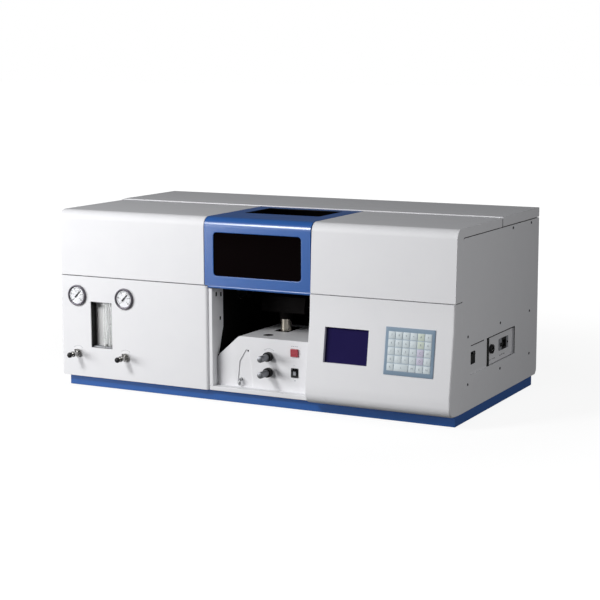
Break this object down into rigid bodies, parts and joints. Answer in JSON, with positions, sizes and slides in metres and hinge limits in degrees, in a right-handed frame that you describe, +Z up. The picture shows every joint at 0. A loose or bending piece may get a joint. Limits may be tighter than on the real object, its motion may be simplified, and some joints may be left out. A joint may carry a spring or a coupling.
{
  "type": "flame atomic absorption spectrometer",
  "caption": "Bench flame spectrometer: gas panel with gauges and flowmeter on the left, burner bay under a lifting hood, screen and keypad on the right.",
  "frame": {"origin": "middle of the box round the whole instrument, on the floor under its feet", "axes": "+X to the operator's right along the cabinet, +Y from the front to the rear, +Z up"},
  "size_m": [1.0222, 0.577, 0.43],
  "materials": {
    "white_paint": "satin powder coat",
    "grey_paint": "satin powder coat",
    "black_paint": "matt heat-proof paint",
    "blue_paint": "semi-gloss paint",
    "white_moulding": "fine grained moulding",
    "black_moulding": "fine grained moulding",
    "red_moulding": "polished moulding",
    "keypad_film": "printed film",
    "dark_rubber": "matt",
    "bright_steel": "turned and polished",
    "plain_aluminium": "turned",
    "dark_titanium": "heat darkened",
    "black_casting": "matt black over a casting",
    "tinted_window": "polished dark acrylic",
    "clear_glass": "polished",
    "gauge_case": "plated case with a white dial",
    "green_board": "solder resist",
    "indigo_screen": "polished display window"
  },
  "bodies": {
    "instrument": {"plinth": "blue_paint", "foot_front_left": "dark_rubber", "foot_front_right": "dark_rubber", "foot_rear_left": "dark_rubber", "foot_rear_right": "dark_rubber", "base_deck": "grey_paint", "left_side_panel": "white_paint", "right_side_panel": "white_paint", "rear_panel": "white_paint", "rear_top_cover": "white_paint", "cross_frame": "black_paint", "cover_hinge_rod": "bright_steel", "monochromator_cover": "white_paint", "bay_left_wall": "white_paint", "bay_right_wall": "white_paint", "bay_sill": "white_paint", "lens_tube_left": "black_casting", "lens_tube_right": "black_casting", "gas_panel": "white_paint", "gauge_left": "gauge_case", "needle_valve_left": "bright_steel", "gauge_right": "gauge_case", "needle_valve_right": "bright_steel", "flowmeter_housing": "black_moulding", "flow_tube_left": "clear_glass", "flow_tube_right": "clear_glass", "display_module": "indigo_screen", "control_panel": "white_paint", "keypad": "keypad_film", "service_plate": "white_paint", "mains_inlet": "black_moulding", "burner_cover": "white_moulding", "drain_spout": "plain_aluminium", "turret_bracket": "black_casting", "monochromator_housing": "black_casting", "main_board": "green_board", "transformer": "black_casting"},
    "lamp_cover": {"lamp_cover": "white_paint"},
    "burner_hood": {"burner_hood": "blue_paint", "hood_window": "tinted_window"},
    "gauge_needle_left": {"gauge_needle_left": "black_moulding"},
    "gauge_needle_right": {"gauge_needle_right": "black_moulding"},
    "flow_float_left": {"flow_float_left": "black_moulding"},
    "flow_float_right": {"flow_float_right": "black_moulding"},
    "valve_knob_left": {"valve_knob_left": "black_moulding"},
    "valve_knob_right": {"valve_knob_right": "black_moulding"},
    "igniter_button": {"igniter_button": "red_moulding"},
    "flame_rocker": {"flame_rocker": "black_moulding"},
    "mains_rocker": {"mains_rocker": "black_moulding"},
    "burner_carriage": {"burner_carriage": "plain_aluminium"},
    "burner_lift": {"spray_chamber": "black_moulding", "burner_neck": "bright_steel", "nebulizer": "white_moulding"},
    "burner_head": {"burner_head": "dark_titanium"},
    "traverse_knob": {"traverse_knob": "plain_aluminium"},
    "height_knob": {"height_knob": "plain_aluminium"},
    "lamp_turret": {"lamp_turret": "plain_aluminium", "hollow_cathode_lamp_1": "clear_glass", "hollow_cathode_lamp_2": "clear_glass"},
    "grating_table": {"grating_table": "plain_aluminium"}
  },
  "joints": [
    {"name": "lamp_cover_hinge", "type": "hinge", "parent": "instrument", "child": "lamp_cover", "pos_m": [-0.30911, 0.0215, 0.424], "axis": [-1, 0, 0], "range_deg": [0, 75]},
    {"name": "burner_hood_hinge", "type": "hinge", "parent": "instrument", "child": "burner_hood", "pos_m": [0.02939, 0.0215, 0.424], "axis": [-1, 0, 0], "range_deg": [0, 75]},
    {"name": "gauge_needle_left_spin", "type": "hinge", "parent": "instrument", "child": "gauge_needle_left", "pos_m": [-0.46161, -0.2485, 0.22402], "axis": [0, 1, 0], "range_deg": [-180, 90], "stiffness_Nm_per_rad": 0.0005},
    {"name": "gauge_needle_right_spin", "type": "hinge", "parent": "instrument", "child": "gauge_needle_right", "pos_m": [-0.32761, -0.2485, 0.22402], "axis": [0, 1, 0], "range_deg": [-180, 90], "stiffness_Nm_per_rad": 0.0005},
    {"name": "flow_float_left_rise", "type": "slide", "parent": "instrument", "child": "flow_float_left", "axis": [0, 0, 1], "range_m": [0, 0.085]},
    {"name": "flow_float_right_rise", "type": "slide", "parent": "instrument", "child": "flow_float_right", "axis": [0, 0, 1], "range_m": [0, 0.085]},
    {"name": "valve_knob_left_turn", "type": "hinge", "parent": "instrument", "child": "valve_knob_left", "pos_m": [-0.46261, -0.2485, 0.084], "axis": [0, 1, 0], "range_deg": [0, 720]},
    {"name": "valve_knob_right_turn", "type": "hinge", "parent": "instrument", "child": "valve_knob_right", "pos_m": [-0.32661, -0.2485, 0.084], "axis": [0, 1, 0], "range_deg": [0, 720]},
    {"name": "igniter_press", "type": "slide", "parent": "instrument", "child": "igniter_button", "axis": [0, 1, 0], "range_m": [0, 0.003], "stiffness_N_per_m": 500},
    {"name": "flame_rocker_tilt", "type": "hinge", "parent": "instrument", "child": "flame_rocker", "pos_m": [0.11189, -0.2215, 0.08299], "axis": [-1, 0, 0], "range_deg": [0, 15]},
    {"name": "mains_rocker_tilt", "type": "hinge", "parent": "instrument", "child": "mains_rocker", "pos_m": [0.50359, -0.147, 0.14], "axis": [0, -1, 0], "range_deg": [0, 15]},
    {"name": "burner_traverse", "type": "slide", "parent": "instrument", "child": "burner_carriage", "axis": [0, 1, 0], "range_m": [-0.008, 0.008]},
    {"name": "burner_raise", "type": "slide", "parent": "burner_carriage", "child": "burner_lift", "axis": [0, 0, 1], "range_m": [-0.01, 0.01]},
    {"name": "burner_head_swivel", "type": "hinge", "parent": "burner_lift", "child": "burner_head", "pos_m": [0.02939, -0.1105, 0.2], "axis": [0, 0, 1], "range_deg": [0, 90]},
    {"name": "traverse_knob_turn", "type": "hinge", "parent": "instrument", "child": "traverse_knob", "pos_m": [0.04639, -0.2245, 0.1155], "axis": [0, 1, 0], "range_deg": [-365, 365]},
    {"name": "height_knob_turn", "type": "hinge", "parent": "instrument", "child": "height_knob", "pos_m": [0.04639, -0.2245, 0.0792], "axis": [0, 1, 0], "range_deg": [-75, 75]},
    {"name": "lamp_turret_turn", "type": "hinge", "parent": "instrument", "child": "lamp_turret", "pos_m": [-0.33511, -0.1105, 0.29002], "axis": [1, 0, 0], "continuous": true},
    {"name": "grating_turn", "type": "hinge", "parent": "instrument", "child": "grating_table", "pos_m": [0.34139, 0.0705, 0.156], "axis": [0, 0, 1], "range_deg": [-30, 30]}
  ],
  "couplings": [
    {"joint": "traverse_knob_turn", "follows": "burner_traverse", "rad_per_m": 785},
    {"joint": "height_knob_turn", "follows": "burner_raise", "rad_per_m": 125}
  ]
}
